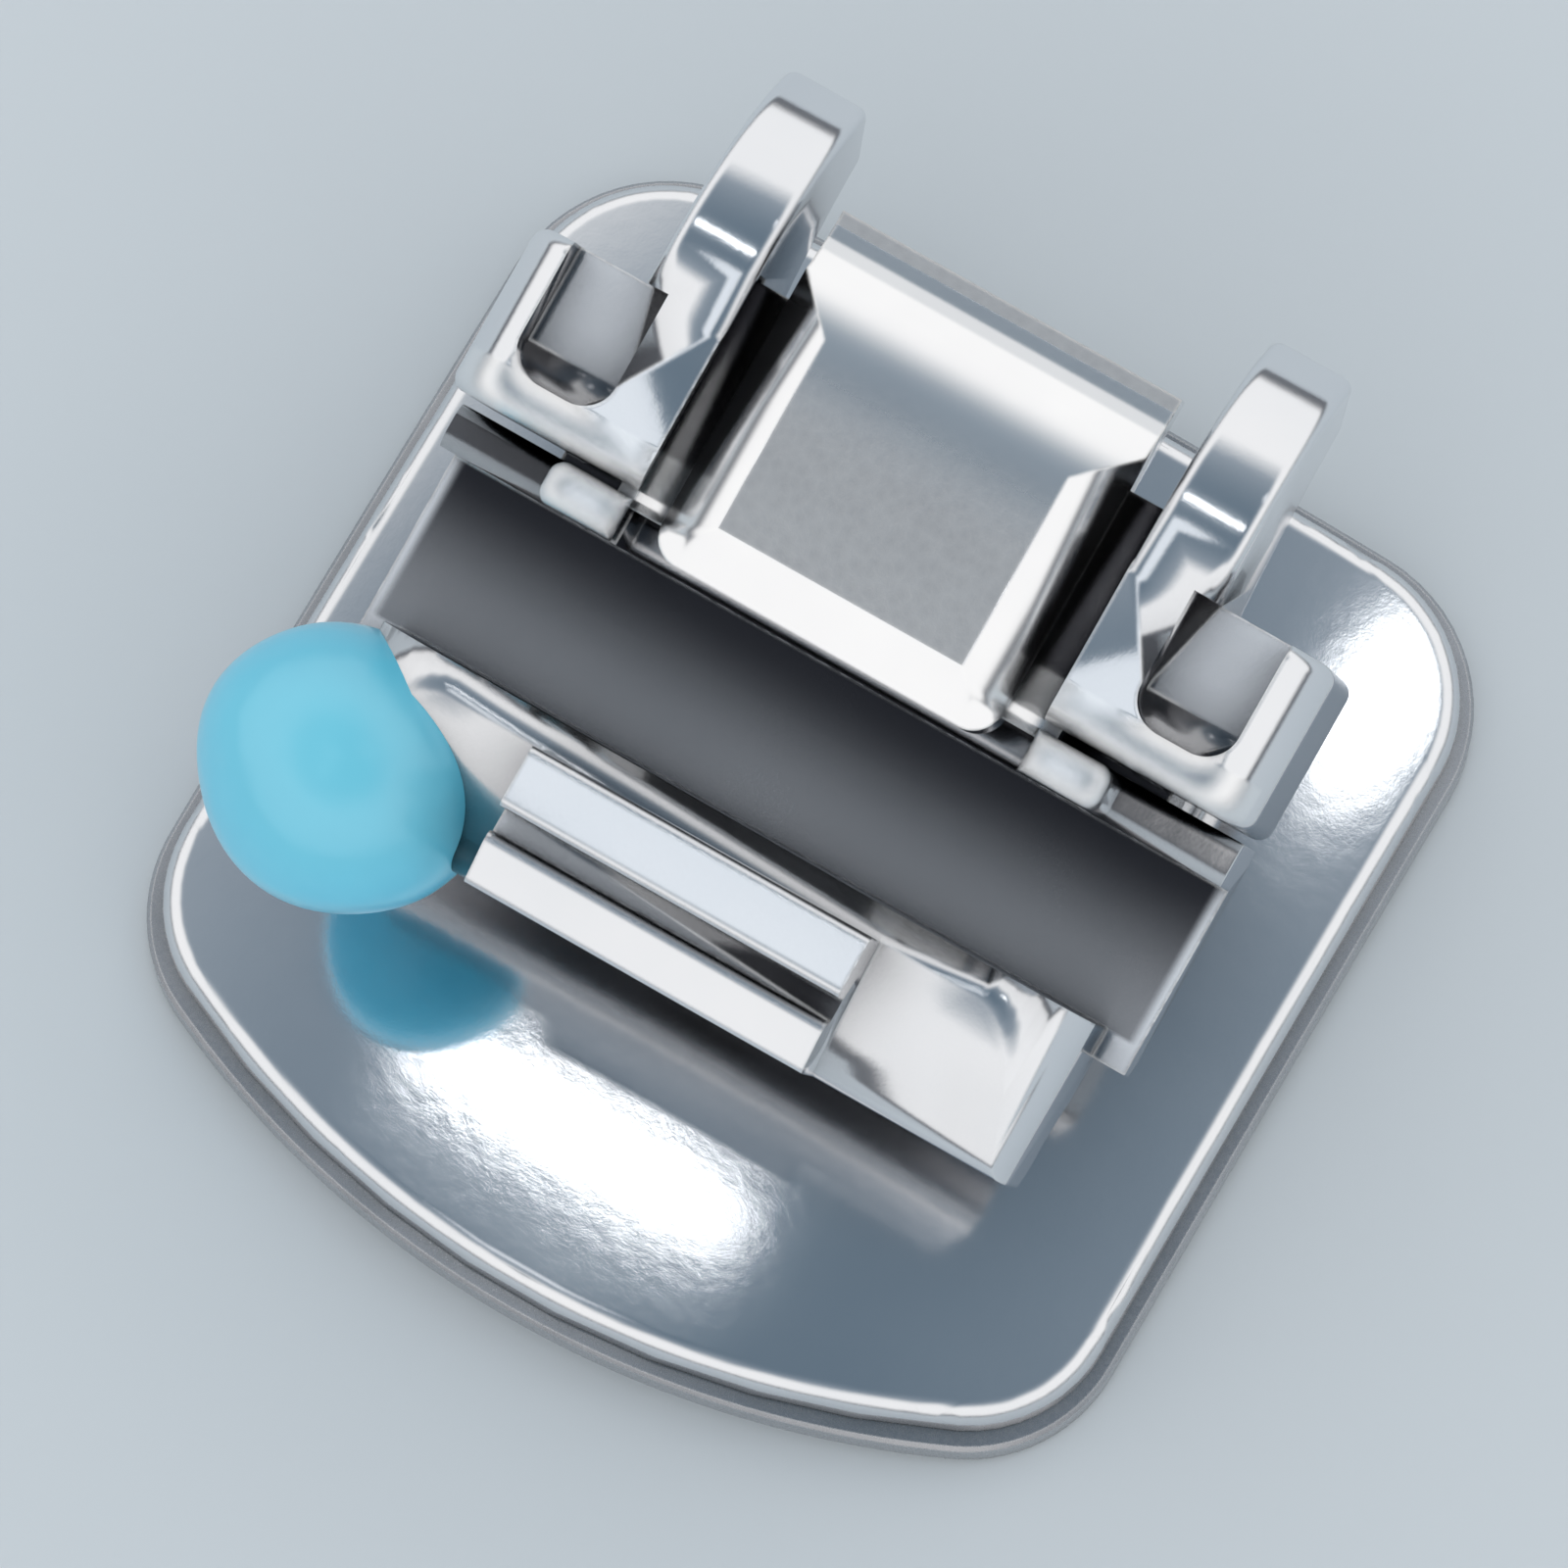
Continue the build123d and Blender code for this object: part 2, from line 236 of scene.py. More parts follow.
def add_node(tree, kind, settings=None, **inputs):
    """Adds a node: its settings first, then its inputs by name or, as i0, i1 ..., by number."""
    node = tree.nodes.new(kind)
    for key, value in (settings or {}).items():
        setattr(node, key, value)
    for name, value in inputs.items():
        numbered = name[0] == "i" and name[1:].isdigit()
        feed(tree.links, node, int(name[1:]) if numbered else name.replace("_", " "), value)
    return node


def math_node(tree, operation, values):
    """Adds a Math node on sockets and numbers, in the order of its inputs."""
    inputs = {f"i{index}": value for index, value in enumerate(values)}
    return add_node(tree, "ShaderNodeMath", {"operation": operation}, **inputs)


class Finish:
    """One material: its nodes, its Principled shader, and the maths between them."""

    def __init__(self, name, **constants):
        self.material = bpy.data.materials.new(name)
        self.material.use_nodes = True
        self.tree = self.material.node_tree
        self.shader = self.tree.nodes["Principled BSDF"]
        for socket, value in constants.items():
            self.give(socket.replace("_", " "), value)

    def give(self, socket, value):
        """Sets or links one input of the shader."""
        feed(self.tree.links, self.shader, socket, value)

    def add(self, kind, settings=None, **inputs):
        return add_node(self.tree, kind, settings, **inputs)

    def math(self, operation, *values):
        return Number(self, math_node(self.tree, operation, values).outputs[0])

    def step(self, value, start, end):
        """0 before start, 1 after end, and a smooth change between them."""
        node = self.add(
            "ShaderNodeMapRange",
            {"interpolation_type": "SMOOTHSTEP"},
            Value=value,
            From_Min=start,
            From_Max=end,
        )
        return Number(self, node.outputs["Result"])

    def place(self):
        """Object coordinates in millimetres, in the leaning frame of the casting."""
        back = casting_frame.inverted()
        coordinates = self.add("ShaderNodeTexCoord").outputs["Object"]
        turned = self.add(
            "ShaderNodeMapping",
            Vector=coordinates,
            Location=back.translation / MM,
            Rotation=back.to_euler(),
            Scale=(1 / MM, 1 / MM, 1 / MM),
        )
        return turned.outputs["Vector"]

    def split(self, vector):
        parts = self.add("ShaderNodeSeparateXYZ", Vector=vector)
        return [Number(self, parts.outputs[axis]) for axis in "XYZ"]

    def facing(self, direction):
        """How far the surface faces a direction, from -1 to 1."""
        normal = self.add("ShaderNodeTexCoord").outputs["Normal"]
        node = self.add("ShaderNodeVectorMath", {"operation": "DOT_PRODUCT"}, i0=normal, i1=direction)
        return Number(self, node.outputs["Value"])

    def noise(self, vector, scale, detail=2.0, roughness=0.5):
        node = self.add("ShaderNodeTexNoise", Vector=vector, Scale=scale, Detail=detail, Roughness=roughness)
        return Number(self, node.outputs["Fac"])

    def cells(self, vector, scale):
        """Small pits and grains: distance to the nearest of scattered points."""
        node = self.add("ShaderNodeTexVoronoi", Vector=vector, Scale=scale)
        return Number(self, node.outputs["Distance"])

    def between(self, value, ends):
        """1 between two values and 0 outside them."""
        low, high = ends
        after = self.step(value, low - MASK_SOFTNESS, low + MASK_SOFTNESS)
        past = self.step(value, high - MASK_SOFTNESS, high + MASK_SOFTNESS)
        return after * (1 - past)

    def stretched(self, vector, scale):
        """The same place with each axis scaled, for marks that run one way."""
        return self.add("ShaderNodeMapping", Vector=vector, Scale=scale).outputs["Vector"]

    def blend(self, factor, first, second):
        """Colour between two colours: the Mix node's first socket and its pair for colours."""
        node = self.add("ShaderNodeMix", {"data_type": "RGBA"}, i0=factor, i6=first, i7=second)
        return node.outputs[2]

    def mixed(self, factor, first, second):
        """Direction between two directions: the Mix node's first socket and its pair for vectors."""
        node = self.add("ShaderNodeMix", {"data_type": "VECTOR"}, i0=factor, i4=first, i5=second)
        return node.outputs[1]

    def bump(self, height, depth, **normal):
        """Normal with a relief of a real depth on it, over the surface's own or over one that is given."""
        node = self.add("ShaderNodeBump", Height=height, Distance=depth, Strength=1.0, **normal)
        return node.outputs["Normal"]

    def rounded(self, radius):
        """Normal with its sharp edges broken, as tumbling leaves them, and how near such an edge is."""
        edge = self.add("ShaderNodeBevel", {"samples": EDGE_SAMPLES}, Radius=radius).outputs["Normal"]
        flat = self.add("ShaderNodeNewGeometry").outputs["Normal"]
        turn = self.add("ShaderNodeVectorMath", {"operation": "DOT_PRODUCT"}, i0=edge, i1=flat)
        return edge, self.step(Number(self, turn.outputs["Value"]), *WEAR_AND_SHEEN_TURNS)

    def occlusion_shade(self, reach):
        """0 in tight gaps and 1 in the open: ambient occlusion that darkens colours as painted shade."""
        node = self.add("ShaderNodeAmbientOcclusion", {"samples": CREVICE_SAMPLES}, Distance=reach)
        return Number(self, node.outputs["AO"])


def rgb(red, green, blue):
    return (red, green, blue, 1.0)


def cast_steel():
    """Tumbled and polished casting: bright, with a fine orange peel, crisp edges lighter as wear and painted
    highlight, and painted shade in corners and hollows.

    The media rounds the front rims of the shoulders and the nubs most, and those rims get a painted
    highlight in the colour; the slot's floor gets painted shade.
    """
    finish = Finish("cast_steel", Metallic=1.0)
    place = finish.place()
    x, y, z = finish.split(place)
    side = finish.math("ABSOLUTE", x)
    # The shoulders' front rims: their normals get a broader rounding, and their colour a painted highlight.
    rims = finish.between(y, SHOULDER_RIMS) * finish.between(side, SHOULDER_SIDES)
    rims = rims * finish.between(z, SHOULDER_HEIGHTS)
    # The slot: its colour gets painted shade, and its roughness a haze.
    slot = finish.between(y, SLOT_SIDES) * finish.between(z, SLOT_DEPTHS)
    slot = slot * (1 - finish.step(side, *SLOT_ENDS))
    cloud = finish.noise(place, scale=1.7, detail=3.0)
    peel = finish.noise(place, scale=15.0)
    grain = finish.noise(place, scale=120.0)
    fine_edge, wear_and_sheen = finish.rounded(EDGE_BREAK)
    broad_edge, _ = finish.rounded(RIM_BREAK)
    edge = finish.mixed(rims, fine_edge, broad_edge)
    near = finish.step(finish.occlusion_shade(CORNER_REACH), start=0.32, end=0.84)
    wide = finish.step(finish.occlusion_shade(HOLLOW_REACH), start=0.22, end=0.86)
    bright = finish.blend(cloud, rgb(0.72, 0.74, 0.77), rgb(0.84, 0.84, 0.85))
    # Painted shade in whole hollows: occlusion darkens the colour to dark grey.
    open_faces = finish.blend(wide, rgb(0.13, 0.13, 0.14), bright)
    # The colour named scale is painted shade in the slot: dark grey on its incisal side, darkening to near
    # black on its gingival side under the door's front edge.
    scale = finish.blend(finish.step(y, *SLOT_SIDES), rgb(0.32, 0.32, 0.33), rgb(0.03, 0.03, 0.035))
    scaled = finish.blend(slot, open_faces, scale)
    # Painted shade in corners: occlusion darkens the colour to near black.
    corners = finish.blend(near, rgb(0.035, 0.036, 0.042), scaled)
    # Base colour: sharp edges lighter as wear and painted highlight, and the shoulders' front rims lighter
    # as painted highlight.
    finish.give("Base Color", finish.blend(wear_and_sheen * 0.6 + rims * 0.4, corners, rgb(0.96, 0.96, 0.95)))
    haze = cloud * 0.04 + grain * 0.03 + (1 - wide) * 0.12 + slot * 0.08
    finish.give("Roughness", 0.06 + haze)
    peeled = finish.bump(peel, PEEL_DEPTH, Normal=edge)
    finish.give("Normal", finish.bump(grain, GRAIN_DEPTH, Normal=peeled))
    return finish.material


def door_steel():
    """Door: bead-blasted satin flat, with ground and polished bevels round it."""
    finish = Finish("door_steel", Metallic=1.0)
    place = finish.place()
    front = (0.0, -math.sin(LEAN), math.cos(LEAN))
    blasted = finish.step(finish.facing(front), start=0.955, end=0.992)
    beads = finish.cells(place, scale=26.0)
    grain = finish.noise(place, scale=90.0, detail=3.0, roughness=0.65)
    cloud = finish.noise(place, scale=2.6)
    edge, wear_and_sheen = finish.rounded(EDGE_BREAK)
    near = finish.step(finish.occlusion_shade(MEETING_REACH), start=0.15, end=0.75)
    satin = finish.blend(cloud, rgb(0.53, 0.53, 0.54), rgb(0.62, 0.62, 0.62))
    mottled = finish.blend(beads * 0.45, satin, rgb(0.72, 0.72, 0.72))
    ground = finish.blend(cloud, rgb(0.84, 0.84, 0.85), rgb(0.92, 0.92, 0.92))
    tone = finish.blend(blasted, ground, mottled)
    # Sharp edges lighter, as wear and painted highlight.
    worn_and_sheened = finish.blend(wear_and_sheen * 0.7, tone, rgb(0.95, 0.95, 0.94))
    # Painted shade: occlusion darkens the colour to near black where the door meets the casting.
    finish.give("Base Color", finish.blend(near, rgb(0.05, 0.05, 0.055), worn_and_sheened))
    finish.give("Roughness", 0.15 + blasted * (0.25 + grain * 0.16))
    pits = finish.bump(blasted * beads, BEAD_DEPTH, Normal=edge)
    finish.give("Normal", finish.bump(blasted * grain, BLAST_DEPTH, Normal=pits))
    return finish.material


def mesh_steel():
    """Brazed foil: duller steel with the fine grain of etching, and painted shade in a brown tint between
    the studs and where it meets other pieces.
    """
    finish = Finish("mesh_steel", Metallic=1.0)
    place = finish.place()
    grain = finish.noise(place, scale=60.0, detail=3.0, roughness=0.6)
    cloud = finish.noise(place, scale=4.0)
    edge, wear_and_sheen = finish.rounded(FOIL_EDGE_BREAK)
    near = finish.step(finish.occlusion_shade(MEETING_REACH), start=0.2, end=0.8)
    tone = finish.blend(cloud, rgb(0.40, 0.41, 0.43), rgb(0.54, 0.54, 0.56))
    # Painted shade in a brown tint: occlusion darkens the colour between the studs and where the foil meets
    # other pieces.
    tone_with_painted_shade = finish.blend(near, rgb(0.24, 0.22, 0.19), tone)
    # Sharp edges lighter, as wear and painted highlight.
    finish.give("Base Color", finish.blend(wear_and_sheen * 0.6, tone_with_painted_shade, rgb(0.88, 0.88, 0.88)))
    finish.give("Roughness", 0.20 + grain * 0.14)
    finish.give("Normal", finish.bump(grain, ETCH_DEPTH, Normal=edge))
    return finish.material


def spring_alloy():
    """Heat-set spring strip with a faint straw tint and drawing marks along it."""
    finish = Finish("spring_alloy", Metallic=1.0)
    along_strip = finish.stretched(finish.place(), (4.0, 60.0, 60.0))
    drawn = finish.noise(along_strip, scale=1.0)
    finish.give("Base Color", finish.blend(drawn, rgb(0.46, 0.44, 0.41), rgb(0.58, 0.56, 0.52)))
    finish.give("Roughness", 0.22 + drawn * 0.14)
    finish.give("Normal", finish.bump(drawn, DRAWN_DEPTH))
    return finish.material


def enamel():
    """Cyan enamel drop with a soft gloss, a little uneven in tone, and a painted highlight that pales it
    towards its top.
    """
    finish = Finish("enamel", Roughness=0.30, IOR=1.5, Coat_Weight=0.6, Coat_Roughness=0.28, Coat_IOR=1.8)
    place = finish.place()
    cloud = finish.noise(place, scale=2.4, detail=3.0)
    ripple = finish.noise(place, scale=3.4)
    height = finish.split(place)[2]
    deep = finish.blend(cloud, rgb(0.03, 0.50, 0.78), rgb(0.08, 0.64, 0.90))
    # Painted highlight: the colour pales towards the drop's top.
    crown = finish.step(height, *PAINTED_HIGHLIGHT_HEIGHTS)
    finish.give("Base Color", finish.blend(crown * 0.55, deep, rgb(0.30, 0.85, 0.99)))
    finish.give("Normal", finish.bump(ripple, RIPPLE_DEPTH))
    return finish.material


def placed(name, data):
    """Object of a mesh, lamp or camera, in the scene."""
    thing = bpy.data.objects.new(name, data)
    bpy.context.scene.collection.objects.link(thing)
    return thing


def finished(mesh, name, body, material):
    """A piece in place: its object, body and material."""
    piece = placed(name, mesh)
    mesh.materials.clear()
    mesh.materials.append(material)
    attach(piece, body)
    return piece


def merged_copy(node):
    """Working copy of a CAD node's mesh, with its loose triangles joined at their edges."""
    work = bmesh.new()
    work.from_mesh(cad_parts[node].data)
    bmesh.ops.remove_doubles(work, verts=work.verts, dist=MERGE_DISTANCE)
    return work


def plain_mesh(work, name):
    """Mesh of a working copy, smooth but for its sharp edges, with its large flats kept flat."""
    mesh = bpy.data.meshes.new(name)
    work.to_mesh(mesh)
    work.free()
    for polygon in mesh.polygons:
        polygon.use_smooth = True
    mesh.set_sharp_from_angle(angle=SHARP)
    holder = placed(name + "_shading", mesh)
    weighted = holder.modifiers.new("flats", "WEIGHTED_NORMAL")
    weighted.weight = FLAT_WEIGHT
    weighted.keep_sharp = True
    return baked(holder, name)


def baked(holder, name):
    """Plain mesh of an object as its modifiers leave it. The object itself is removed."""
    evaluated = holder.evaluated_get(bpy.context.evaluated_depsgraph_get())
    mesh = bpy.data.meshes.new_from_object(evaluated)
    mesh.name = name
    bpy.data.objects.remove(holder)
    return mesh


def tooth_height(x, y, offset):
    """Height of the tooth surface, grown by an offset, at a place on the pad."""
    across = TOOTH_RADIUS_ACROSS + offset
    ring = RING_RADIUS + math.sqrt(across**2 - x**2)
    return TOOTH_AXIS_HEIGHT + math.sqrt(ring**2 - (y - TOOTH_CREST_PLACE) ** 2)


def above_tooth(point):
    """Distance of a point from the tooth surface."""
    ring = math.hypot(point.y - TOOTH_CREST_PLACE, point.z - TOOTH_AXIS_HEIGHT)
    return math.hypot(point.x, ring - RING_RADIUS) - TOOTH_RADIUS_ACROSS


def onto_tooth(point, offset):
    """The point on the grown tooth surface nearest to a point."""
    y, z = point.y - TOOTH_CREST_PLACE, point.z - TOOTH_AXIS_HEIGHT
    ring = math.hypot(y, z)
    across = math.hypot(point.x, ring - RING_RADIUS)
    share = (TOOTH_RADIUS_ACROSS + offset) / across
    stretch = (RING_RADIUS + (ring - RING_RADIUS) * share) / ring
    return Vector((point.x * share, TOOTH_CREST_PLACE + y * stretch, TOOTH_AXIS_HEIGHT + z * stretch))


def tooth_slope(point):
    """Direction straight out of the tooth at a point."""
    y, z = point.y - TOOTH_CREST_PLACE, point.z - TOOTH_AXIS_HEIGHT
    ring = math.hypot(y, z)
    share = (ring - RING_RADIUS) / ring
    return Vector((point.x, y * share, z * share)).normalized()


def shade_pad(mesh):
    """Gives the front of the flange the exact slopes of the tooth's curve, so that it mirrors evenly."""
    front = FLANGE_CREST - FOIL_CREST
    slopes = [corner.vector.copy() for corner in mesh.corner_normals]
    for loop in mesh.loops:
        point = mesh.vertices[loop.vertex_index].co
        slope = tooth_slope(point)
        if abs(above_tooth(point) - front) < PAD_SLACK and slopes[loop.index].dot(slope) > PAD_FACING:
            slopes[loop.index] = slope
    mesh.normals_split_custom_set(slopes)


def smooth_pad(work):
    """Divides the large facets on the front of the flange, and lays them on the tooth's true curve."""
    front = FLANGE_CREST - FOIL_CREST
    for _ in range(PAD_CUTS):
        lying = {v.index for v in work.verts if abs(above_tooth(v.co) - front) < ON_SURFACE}
        on_pad = [e for e in work.edges if all(v.index in lying for v in e.verts)]
        long = [e for e in on_pad if e.calc_length() > PAD_FACET]
        if not long:
            return
        middles = KDTree(len(long))
        for index, edge in enumerate(long):
            middles.insert((edge.verts[0].co + edge.verts[1].co) / 2, index)
        middles.balance()
        bmesh.ops.subdivide_edges(work, edges=long, cuts=1)
        for vertex in work.verts:
            if middles.find(vertex.co)[2] < AT_MIDDLE:
                vertex.co = onto_tooth(vertex.co, front)
        cut = [f for f in work.faces if len(f.verts) > 3]
        bmesh.ops.triangulate(work, faces=cut, quad_method="SHORT_EDGE")
        work.verts.index_update()


def pad_outline(grow):
    """Points round the pad, seen from the front: straight gum edge and sides, bulging incisal edge."""
    half = PAD_HALF_WIDTH + grow
    gum = PAD_GINGIVAL_REACH + grow
    corner = -PAD_INCISAL_REACH - grow
    radius = PAD_CORNER_RADIUS + grow
    crown_radius = (half**2 + PAD_BULGE**2) / (2 * PAD_BULGE)
    crown_middle = corner - PAD_BULGE + crown_radius
    side = half - radius
    low = crown_middle - math.sqrt((crown_radius - radius) ** 2 - side**2)
    reach = math.atan2(side, crown_middle - low)
    points = []

    def arc(x, y, size, start, end, count):
        for index in range(count + 1):
            angle = start + (end - start) * index / count
            points.append((x + size * math.cos(angle), y + size * math.sin(angle)))

    def line_to(x, y):
        start = Vector(points[-1])
        for index in range(1, SIDE_POINTS):
            points.append(start.lerp((x, y), index / SIDE_POINTS)[:])

    down = 1.5 * math.pi
    arc(side, gum - radius, radius, 0, math.pi / 2, CORNER_POINTS)
    line_to(-side, gum)
    arc(-side, gum - radius, radius, math.pi / 2, math.pi, CORNER_POINTS)
    line_to(-half, low)
    arc(-side, low, radius, math.pi, down - reach, CORNER_POINTS)
    arc(0, crown_middle, crown_radius, down - reach, down + reach, BULGE_POINTS)
    arc(side, low, radius, down + reach, 2 * math.pi, CORNER_POINTS)
    line_to(half, gum - radius)
    return points


def skin(work, rows):
    """Faces between each ring of points and the next."""
    for upper, lower in zip(rows, rows[1:]):
        for index in range(len(upper)):
            after = (index + 1) % len(upper)
            work.faces.new((upper[index], upper[after], lower[after], lower[index]))


def foil_sheet():
    """Brazed foil without its studs: rounded rim, plain border, and a recessed field for the studs."""
    rim, face, field = pad_outline(FOIL_RIM), pad_outline(FOIL_RIM - FOIL_EDGE), pad_outline(-STUD_BORDER)
    shares = [index / FOIL_RINGS for index in range(1, FOIL_RINGS + 1)]
    loops = [(face, share, FOIL_THICKNESS) for share in shares]
    loops += [(rim, 1.0, FOIL_THICKNESS - FOIL_EDGE), (rim, 1.0, FOIL_EDGE)]
    loops += [(face, 1.0, 0.0), (field, 1.0, 0.0)]
    loops += [(field, share, STUD_DEPTH) for share in reversed(shares)]
    work = bmesh.new()
    rows = []
    for outline, share, offset in loops:
        row = [(x * share, y * share) for x, y in outline]
        rows.append([work.verts.new((x, y, tooth_height(x, y, offset))) for x, y in row])
    skin(work, rows)
    for row, offset in ((rows[0], FOIL_THICKNESS), (rows[-1], STUD_DEPTH)):
        middle = work.verts.new((0, 0, tooth_height(0, 0, offset)))
        for index in range(len(row)):
            work.faces.new((row[index], row[(index + 1) % len(row)], middle))
    bmesh.ops.remove_doubles(work, verts=work.verts, dist=MERGE_DISTANCE)
    bmesh.ops.recalc_face_normals(work, faces=work.faces)
    return work


class Tree:
    """A Geometry Nodes tree under construction, with named inputs."""

    def __init__(self, name):
        self.group = bpy.data.node_groups.new(name, "GeometryNodeTree")
        self.group.interface.new_socket("Geometry", in_out="INPUT", socket_type="NodeSocketGeometry")
        self.group.interface.new_socket("Geometry", in_out="OUTPUT", socket_type="NodeSocketGeometry")
        self.values = {}

    def named(self, label, kind, value):
        """Declares one named input and the value it gets on the modifier."""
        socket = self.group.interface.new_socket(label, in_out="INPUT", socket_type=kind)
        self.values[socket.identifier] = value

    def start(self):
        """The values of the named inputs, once all are declared."""
        return self.add("NodeGroupInput")

    def add(self, kind, settings=None, **inputs):
        """Adds a node and gives its outputs."""
        return add_node(self.group, kind, settings, **inputs).outputs

    def math(self, operation, *values):
        return math_node(self.group, operation, values).outputs[0]

    def finish(self, geometry):
        self.add("NodeGroupOutput", i0=geometry)

    def made(self, mesh, name):
        """Plain mesh that the tree makes from a starting mesh."""
        holder = placed(name + "_tree", mesh)
        modifier = holder.modifiers.new(name, "NODES")
        modifier.node_group = self.group
        for identifier, value in self.values.items():
            modifier[identifier] = value
        result = baked(holder, name)
        bpy.data.node_groups.remove(self.group)
        return result


def stud_form():
    """One cement stud: a square block with broken edges, wider at its head than at its root."""
    half = STUD_WIDTH / 2
    levels = ((0.0, half - STUD_EDGE), (STUD_EDGE, half), (STUD_DEPTH, half * STUD_ROOT_SHARE))
    work = bmesh.new()
    rows = []
    for height, reach in levels:
        corner = reach - STUD_EDGE
        ring = [(reach, corner), (corner, reach), (-corner, reach), (-reach, corner)]
        ring += [(-x, -y) for x, y in ring]
        rows.append([work.verts.new((x, y, height)) for x, y in ring])
    skin(work, rows)
    work.faces.new(rows[0])
    work.faces.new(list(reversed(rows[-1])))
    bmesh.ops.recalc_face_normals(work, faces=work.faces)
    mesh = bpy.data.meshes.new("stud")
    work.to_mesh(mesh)
    work.free()
    return bpy.data.objects.new("stud", mesh)


def studs(material):
    """Cement studs on a square grid, set on the tooth's curve and kept inside the foil's border."""
    margin = STUD_BORDER + STUD_WIDTH / 2
    tree = Tree("studs")
    tree.named("Pitch", "NodeSocketFloat", STUD_PITCH)
    tree.named("Ranks", "NodeSocketInt", STUD_RANKS)
    tree.named("Half Width", "NodeSocketFloat", PAD_HALF_WIDTH - margin)
    tree.named("Gingival Reach", "NodeSocketFloat", PAD_GINGIVAL_REACH - margin)
    tree.named("Incisal Reach", "NodeSocketFloat", PAD_INCISAL_REACH + PAD_BULGE - margin)
    tree.named("Bulge", "NodeSocketFloat", PAD_BULGE)
    tree.named("Radius Across", "NodeSocketFloat", TOOTH_RADIUS_ACROSS)
    tree.named("Ring Radius", "NodeSocketFloat", RING_RADIUS)
    tree.named("Axis Place", "NodeSocketFloat", TOOTH_CREST_PLACE)
    tree.named("Axis Height", "NodeSocketFloat", TOOTH_AXIS_HEIGHT)
    stud = stud_form()
    tree.named("Stud", "NodeSocketObject", stud)
    tree.named("Material", "NodeSocketMaterial", material)
    value = tree.start()
    ranks = value["Ranks"]
    span = tree.math("MULTIPLY", value["Pitch"], tree.math("SUBTRACT", ranks, 1.0))
    grid = tree.add("GeometryNodeMeshGrid", Size_X=span, Size_Y=span, Vertices_X=ranks, Vertices_Y=ranks)[0]
    place = tree.add("GeometryNodeInputPosition")[0]
    x, y, _ = tree.add("ShaderNodeSeparateXYZ", Vector=place)
    outer = tree.math("DIVIDE", x, value["Half Width"])
    crown = tree.math("MULTIPLY", value["Bulge"], tree.math("MULTIPLY", outer, outer))
    low = tree.math("SUBTRACT", crown, value["Incisal Reach"])
    off_side = tree.math("GREATER_THAN", tree.math("ABSOLUTE", outer), 1.0)
    off_gum = tree.math("GREATER_THAN", y, value["Gingival Reach"])
    off_crown = tree.math("LESS_THAN", y, low)
    outside = tree.math("MAXIMUM", off_side, tree.math("MAXIMUM", off_gum, off_crown))
    kept = tree.add("GeometryNodeDeleteGeometry", {"domain": "POINT"}, Geometry=grid, Selection=outside)[0]
    across = tree.math("MULTIPLY", value["Radius Across"], value["Radius Across"])
    bow = tree.math("SQRT", tree.math("SUBTRACT", across, tree.math("MULTIPLY", x, x)))
    ring = tree.math("ADD", value["Ring Radius"], bow)
    along = tree.math("SUBTRACT", y, value["Axis Place"])
    drop = tree.math("SUBTRACT", tree.math("MULTIPLY", ring, ring), tree.math("MULTIPLY", along, along))
    height = tree.math("ADD", value["Axis Height"], tree.math("SQRT", drop))
    point = tree.add("ShaderNodeCombineXYZ", X=x, Y=y, Z=height)[0]
    rise = tree.math("SUBTRACT", height, value["Axis Height"])
    outward = tree.add("ShaderNodeCombineXYZ", X=x, Y=along, Z=rise)[0]
    laid = tree.add("GeometryNodeSetPosition", Geometry=kept, Position=point)[0]
    turn = tree.add("FunctionNodeAlignRotationToVector", {"axis": "Z"}, Vector=outward)[0]
    form = tree.add("GeometryNodeObjectInfo", Object=value["Stud"])["Geometry"]
    set_out = tree.add("GeometryNodeInstanceOnPoints", Points=laid, Instance=form, Rotation=turn)[0]
    solid = tree.add("GeometryNodeRealizeInstances", Geometry=set_out)[0]
    tree.finish(tree.add("GeometryNodeSetMaterial", Geometry=solid, Material=value["Material"])[0])
    result = tree.made(bpy.data.meshes.new("studs_start"), "studs")
    bpy.data.objects.remove(stud)
    return result


def foil():
    """Foil and its studs, as one piece."""
    material = mesh_steel()
    work = foil_sheet()
    stud_mesh = studs(material)
    work.from_mesh(stud_mesh)
    bpy.data.meshes.remove(stud_mesh)
    piece = finished(plain_mesh(work, "foil"), "foil", "casting", material)
    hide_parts("bonding_mesh")


def casting():
    """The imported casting, with its flange laid on the tooth's true curve."""
    work = merged_copy("bracket_body")
    smooth_pad(work)
    mesh = plain_mesh(work, "casting")
    shade_pad(mesh)
    piece = finished(mesh, "casting", "casting", cast_steel())
    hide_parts("bracket_body")


def door():
    """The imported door, with finer shading."""
    mesh = plain_mesh(merged_copy("sliding_door"), "door")
    piece = finished(mesh, "door", "door", door_steel())
    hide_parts("sliding_door")


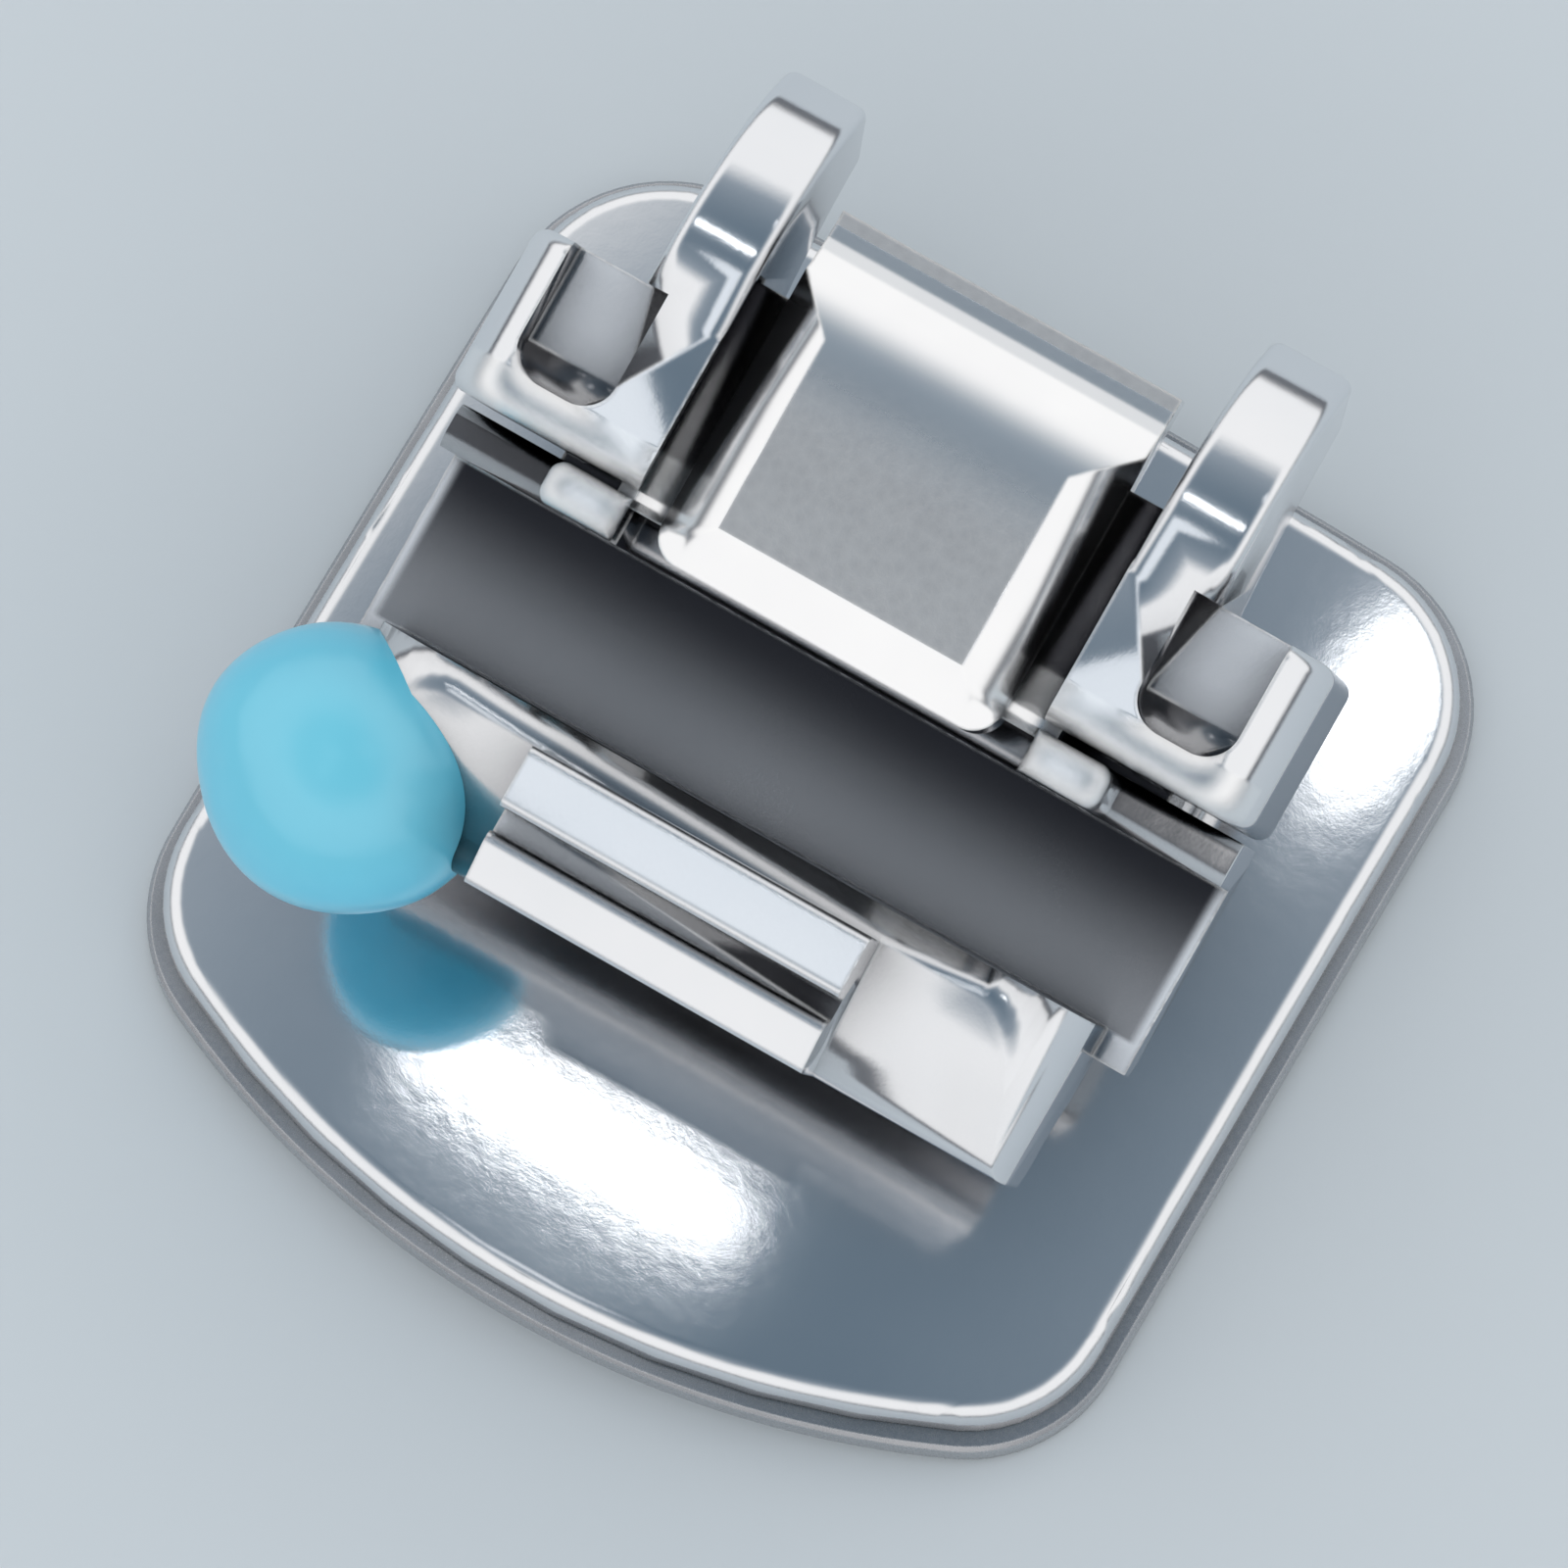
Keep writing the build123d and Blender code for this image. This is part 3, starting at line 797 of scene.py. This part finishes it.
def spring():
    """Slit tube of rolled strip, finely rounded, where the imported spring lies."""
    low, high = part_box("detent_spring")
    middle = casting_frame.inverted() @ ((low + high) / 2)
    slit = math.asin(SPRING_GAP / 2 / SPRING_RADIUS)
    work = bmesh.new()
    rows = []
    for index in range(SPRING_FACETS + 1):
        angle = -math.pi / 2 + slit + (2 * math.pi - 2 * slit) * index / SPRING_FACETS
        cos, sin = math.cos(angle), math.sin(angle)
        row = []
        for radius in (SPRING_RADIUS, SPRING_RADIUS - SPRING_WALL):
            for x in (-SPRING_LENGTH / 2, SPRING_LENGTH / 2):
                row.append((x, middle.y + radius * cos, middle.z + radius * sin))
        rows.append([work.verts.new(casting_frame @ Vector(point)) for point in row])
    for before, after in zip(rows, rows[1:]):
        for a, b in ((0, 1), (1, 3), (3, 2), (2, 0)):
            work.faces.new((before[a], before[b], after[b], after[a]))
    for row in (rows[0], rows[-1]):
        work.faces.new((row[0], row[1], row[3], row[2]))
    bmesh.ops.recalc_face_normals(work, faces=work.faces)
    piece = finished(plain_mesh(work, "spring"), "spring", "casting", spring_alloy())
    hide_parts("detent_spring")


def mark():
    """Enamel drop: a dome that sags a little, flat where it ends under the wing, and never quite round."""
    low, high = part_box("colour_mark")
    middle = (low + high) / 2
    half = (high - low) / 2
    work = bmesh.new()
    bmesh.ops.create_icosphere(work, subdivisions=DROP_SUBDIVISIONS, radius=1.0)
    for vertex in work.verts:
        x, y, z = vertex.co
        size = DROP_SIZE + DROP_UNEVENNESS * noise.noise(vertex.co * DROP_WAVES + DROP_WAVE_PLACE)
        if z < DROP_FOOT:
            z = DROP_FOOT - DROP_CURL * (1 - math.exp((z - DROP_FOOT) / DROP_CURL))
        vertex.co = (x * size, y * size, z * size)
    tall = [vertex.co.z for vertex in work.verts]
    bottom, top = min(tall), max(tall)
    for vertex in work.verts:
        x, y, z = vertex.co
        share = (z - bottom) / (top - bottom)
        vertex.co = (middle.x + x * half.x, middle.y + y * half.y, low.z + share * 2 * half.z)
    piece = finished(plain_mesh(work, "mark"), "mark", "casting", enamel())
    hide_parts("colour_mark")


def floor():
    """Plain pale floor under the pad."""
    half = FLOOR_HALF_WIDTH
    mesh = bpy.data.meshes.new("floor")
    corners = [(x, y, -FLOOR_DROP) for x, y in ((-half, -half), (half, -half), (half, half), (-half, half))]
    mesh.from_pydata(corners, [], [(0, 1, 2, 3)])
    finish = Finish("pale_floor", Roughness=0.9, Base_Color=rgb(0.72, 0.78, 0.82))
    mesh.materials.append(finish.material)
    ground = placed("floor", mesh)


def sky():
    """Soft studio surround: a dark foot, a white ring at lamp height, and a grey-blue zenith."""
    world = bpy.data.worlds.new("studio")
    bpy.context.scene.world = world
    world.use_nodes = True
    tree = world.node_tree
    way = add_node(tree, "ShaderNodeTexCoord").outputs["Generated"]
    height = add_node(tree, "ShaderNodeSeparateXYZ", Vector=way).outputs["Z"]
    ramp = add_node(tree, "ShaderNodeValToRGB", Fac=height)
    background = tree.nodes["Background"]
    feed(tree.links, background, "Color", ramp.outputs["Color"])
    feed(tree.links, background, "Strength", SKY_STRENGTH)
    stops = ramp.color_ramp.elements
    stops[0].position, stops[0].color = SKY[0][0], rgb(*SKY[0][1])
    stops[1].position, stops[1].color = SKY[-1][0], rgb(*SKY[-1][1])
    for height, colour in SKY[1:-1]:
        stops.new(height).color = rgb(*colour)


def aim(thing, azimuth, elevation, distance, turn=0.0):
    """Puts a lamp or the camera at a distance from the middle of the frame, facing it.

    Azimuth 0 is in front of the incisal edge. All angles are in degrees.
    """
    around, up = math.radians(azimuth), math.radians(elevation)
    away = Vector((math.sin(around) * math.cos(up), -math.cos(around) * math.cos(up), math.sin(up)))
    thing.location = FRAME_CENTRE + away * distance
    thing.rotation_mode = "QUATERNION"
    thing.rotation_quaternion = away.to_track_quat("Z", "Y") @ Quaternion((0, 0, 1), math.radians(turn))


def lamps():
    """Soft lamps, each a disk or an oval that faces the bracket."""
    for name, (azimuth, elevation, turn, width, height, watts) in LAMPS.items():
        light = bpy.data.lights.new(name, "AREA")
        light.shape = "ELLIPSE"
        light.size = width
        light.size_y = height
        light.energy = watts
        aim(placed(name, light), azimuth, elevation, LAMP_DISTANCE, turn)


def camera():
    """Long lens at the photograph's angle, as far off as its frame's width asks."""
    data = bpy.data.cameras.new("camera")
    data.sensor_width = SENSOR_MM
    data.lens = LENS_MM
    distance = FRAME_WIDTH * LENS_MM / SENSOR_MM
    data.clip_start = distance * NEAR_CLIP
    data.clip_end = distance * FAR_CLIP
    holder = placed("camera", data)
    aim(holder, VIEW_AZIMUTH, VIEW_ELEVATION, distance)
    bpy.context.scene.camera = holder


casting()
door()
foil()
spring()
mark()
floor()
sky()
lamps()
camera()
bpy.context.scene.view_settings.view_transform = "Standard"
